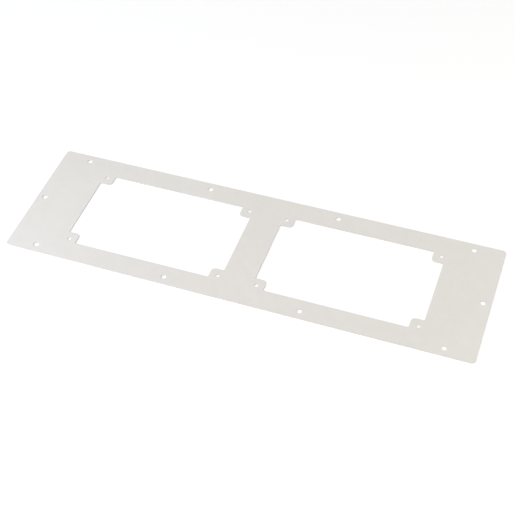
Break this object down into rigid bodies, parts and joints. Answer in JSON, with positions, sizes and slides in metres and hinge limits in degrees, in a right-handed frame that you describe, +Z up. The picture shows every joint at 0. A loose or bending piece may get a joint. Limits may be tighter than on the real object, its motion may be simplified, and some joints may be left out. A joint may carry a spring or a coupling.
{
  "type": "enclosure floor plate",
  "caption": "Flat sheet-steel floor plate for a wide, shallow cabinet, with large cable openings side by side, screw tabs in their corners and fixing holes round the rim.",
  "frame": {"origin": "middle of the underside, halfway between the two openings, on the plane that the plate lies on", "axes": "+X along the plate's long side, +Y along its depth, +Z up, out of the top face"},
  "size_m": [1, 0.3, 0.002],
  "materials": {
    "painted_sheet": "matt, very fine textured powder coat, pale warm grey, on steel sheet"
  },
  "bodies": {
    "root": {"floor_plate": "painted_sheet"}
  },
  "joints": []
}
